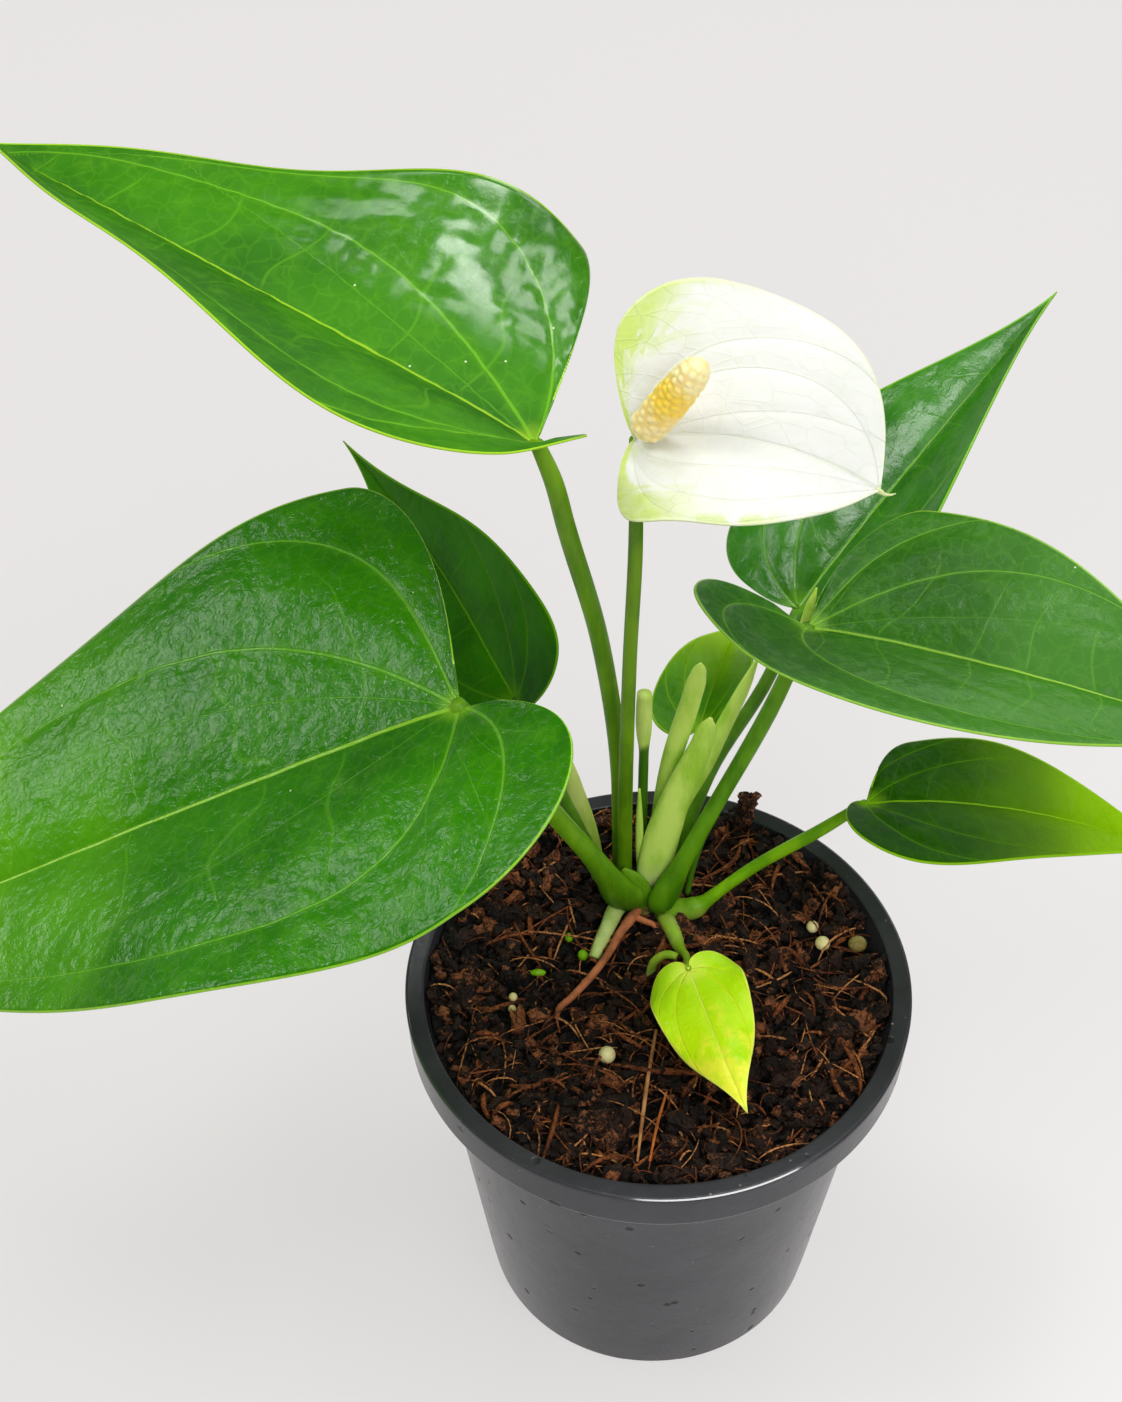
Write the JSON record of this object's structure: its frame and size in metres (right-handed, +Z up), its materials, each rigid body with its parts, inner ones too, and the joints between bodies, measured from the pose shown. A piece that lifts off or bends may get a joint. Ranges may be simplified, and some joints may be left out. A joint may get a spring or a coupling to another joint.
{
  "type": "potted anthurium",
  "caption": "Flowering houseplant: glossy heart-shaped leaves and a white spathe with a yellow spadix on slender stalks, rooted in coarse mix in a tapered dark plastic pot.",
  "frame": {"origin": "centre of the pot's flat underside", "axes": "+Z is up, -Y faces the viewer of the picture and +X points to the viewer's right"},
  "size_m": [0.3742, 0.2016, 0.3072],
  "materials": {
    "pot_plastic": "satin",
    "soil": "matte",
    "crown": "matte",
    "leaf_green": "gloss",
    "leaf_dark": "gloss",
    "leaf_bright": "gloss",
    "leaf_lime": "satin",
    "spathe": "satin",
    "spadix": "satin",
    "stalk": "satin",
    "sheath": "satin",
    "dry_sheath": "matte",
    "root_pale": "matte",
    "root_brown": "matte",
    "bead": "satin",
    "sprout": "satin"
  },
  "bodies": {
    "root": {"bead_cream": "bead", "bead_green": "sprout", "bead_lower_left": "bead", "bead_pale": "sprout", "bead_right": "bead", "bead_small_left": "bead", "crown": "crown", "flower_stub": "sheath", "grain_right": "bead", "leaf_back_left": "leaf_dark", "leaf_back_right": "leaf_green", "leaf_behind": "leaf_bright", "leaf_bud": "sheath", "leaf_front_left": "leaf_green", "leaf_lower_right": "leaf_bright", "leaf_right": "leaf_green", "leaf_upper_left": "leaf_green", "leaf_young": "leaf_lime", "nub_right": "bead", "petiole_back_left": "stalk", "petiole_back_right": "stalk", "petiole_behind": "stalk", "petiole_front_left": "stalk", "petiole_lower_right": "stalk", "petiole_right": "stalk", "petiole_upper_left": "stalk", "petiole_young": "sheath", "pot": "pot_plastic", "root_brown": "root_brown", "root_orange": "root_brown", "root_pale": "root_pale", "root_tan": "root_brown", "runner": "sheath", "scape": "stalk", "sheath_broad": "sheath", "sheath_dry": "dry_sheath", "sheath_left": "sheath", "sheath_tall": "sheath", "soil": "soil", "spadix": "spadix", "spathe": "spathe", "sprout_left": "sprout"}
  },
  "joints": []
}
